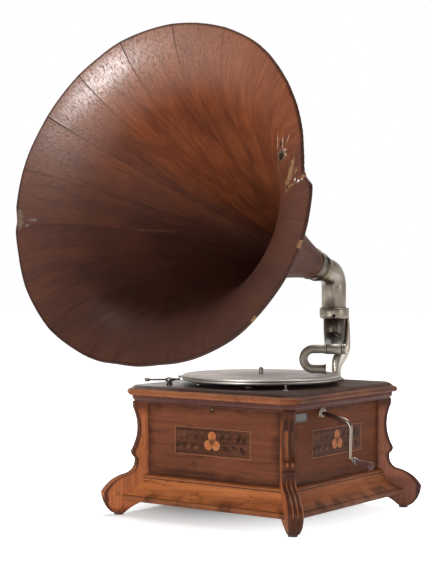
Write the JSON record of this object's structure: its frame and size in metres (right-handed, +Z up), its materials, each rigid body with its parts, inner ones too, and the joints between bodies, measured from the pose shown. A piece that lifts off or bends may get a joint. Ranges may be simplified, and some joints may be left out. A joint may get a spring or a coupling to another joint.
{
  "type": "horn gramophone",
  "caption": "Table gramophone with a flared wooden horn on a swivelling elbow, a jointed tone arm, a turntable driven by a wound spring motor, and a case on scroll-footed legs.",
  "frame": {"origin": "centre of the overall outline, on the floor", "axes": "+Z up along the turntable's axis, -Y the way the horn faces, +X the crank's side"},
  "size_m": [0.5334, 0.6465, 0.7264],
  "materials": {
    "case_wood": "satin",
    "horn_wood": "satin",
    "handle_wood": "gloss",
    "nickel": "aged satin",
    "brass": "satin",
    "steel": "satin",
    "iron": "matt",
    "felt": "matt"
  },
  "bodies": {
    "case": {"leg_front_right": "case_wood", "leg_back_right": "case_wood", "leg_back_left": "case_wood", "leg_front_left": "case_wood", "foot_glides": "iron", "crank_bush": "nickel", "panel_front": "case_wood", "skirt_front": "case_wood", "frieze_front": "case_wood", "panel_right": "case_wood", "skirt_right": "case_wood", "frieze_right": "case_wood", "panel_back": "case_wood", "skirt_back": "case_wood", "frieze_back": "case_wood", "panel_left": "case_wood", "skirt_left": "case_wood", "frieze_left": "case_wood", "bottom_board": "case_wood", "horn_bracket": "nickel", "bracket_screws": "steel", "collar_screw": "steel", "top_board": "case_wood", "brake_post": "nickel", "speed_bush": "nickel", "keyhole_bush": "brass", "tag_plate": "brass", "motor_top_plate": "iron", "motor_bottom_plate": "iron", "motor_posts": "steel", "motor_pillars": "steel", "motor_bolts": "steel"},
    "turntable": {"spindle": "steel", "governor_wheel": "brass", "platter": "nickel", "platter_felt": "felt"},
    "barrel": {"spring_barrel": "steel", "great_wheel": "brass"},
    "drive": {"drive_shaft": "steel", "drive_wheel": "brass"},
    "governor": {"governor_shaft": "steel", "governor_weights": "brass", "governor_disc": "steel"},
    "arbor": {"winding_arbor": "steel", "crown_wheel": "steel"},
    "crank": {"crank_rod": "nickel", "winding_pinion": "steel"},
    "crank_grip": {"handle_ferrule": "nickel", "crank_handle": "handle_wood"},
    "horn_assembly": {"horn_elbow": "nickel", "horn_ferrule": "nickel", "horn": "horn_wood"},
    "arm_assembly": {"tone_arm": "nickel", "arm_sleeve": "nickel"},
    "gooseneck_assembly": {"gooseneck": "nickel"},
    "brake": {"brake_lever": "nickel", "brake_pad": "felt"},
    "regulator": {"speed_screw": "steel"}
  },
  "joints": [
    {"name": "turntable_spin", "type": "hinge", "parent": "case", "child": "turntable", "pos_m": [-0.07195, 0.12243, 0.2045], "axis": [0, 0, 1], "continuous": true},
    {"name": "drive_spin", "type": "hinge", "parent": "case", "child": "drive", "pos_m": [-0.03479, 0.09489, 0.073], "axis": [0, 0, 1], "continuous": true},
    {"name": "barrel_spin", "type": "hinge", "parent": "case", "child": "barrel", "pos_m": [0.01259, 0.08343, 0.073], "axis": [0, 0, 1], "continuous": true},
    {"name": "governor_spin", "type": "hinge", "parent": "case", "child": "governor", "pos_m": [-0.11189, 0.10789, 0.073], "axis": [0, 0, 1], "continuous": true},
    {"name": "crank_turn", "type": "hinge", "parent": "case", "child": "crank", "pos_m": [0.06705, 0.08343, 0.169], "axis": [0.977, 0, -0.213], "continuous": true},
    {"name": "arbor_turn", "type": "hinge", "parent": "case", "child": "arbor", "pos_m": [0.01259, 0.08343, 0.15795], "axis": [0, 0, 1], "continuous": true},
    {"name": "grip_spin", "type": "hinge", "parent": "crank", "child": "crank_grip", "pos_m": [0.12372, 0.08343, 0.10035], "axis": [0.977, 0, -0.213], "continuous": true},
    {"name": "horn_swivel", "type": "hinge", "parent": "case", "child": "horn_assembly", "pos_m": [-0.01199, 0.24646, 0.3064], "axis": [0, 0, 1], "range_deg": [-120, 120]},
    {"name": "tone_arm_swing", "type": "hinge", "parent": "case", "child": "arm_assembly", "pos_m": [-0.01199, 0.24646, 0.3064], "axis": [0, 0, 1], "range_deg": [-36, 4]},
    {"name": "gooseneck_lift", "type": "hinge", "parent": "arm_assembly", "child": "gooseneck_assembly", "pos_m": [0.06189, 0.12636, 0.264], "axis": [-0.8517, -0.524, 0], "range_deg": [0, 150]},
    {"name": "brake_swing", "type": "hinge", "parent": "case", "child": "brake", "pos_m": [-0.17701, 0.01847, 0.2045], "axis": [0, 0, 1], "range_deg": [0, 30]},
    {"name": "regulator_turn", "type": "hinge", "parent": "case", "child": "regulator", "pos_m": [0.03705, 0.02843, 0.2045], "axis": [0, 0, 1], "range_deg": [-90, 90]}
  ],
  "couplings": [
    {"joint": "drive_spin", "follows": "turntable_spin", "ratio": -0.23333},
    {"joint": "barrel_spin", "follows": "turntable_spin", "ratio": 0.051042},
    {"joint": "governor_spin", "follows": "turntable_spin", "ratio": -4.6667},
    {"joint": "arbor_turn", "follows": "crank_turn", "ratio": 0.375}
  ]
}
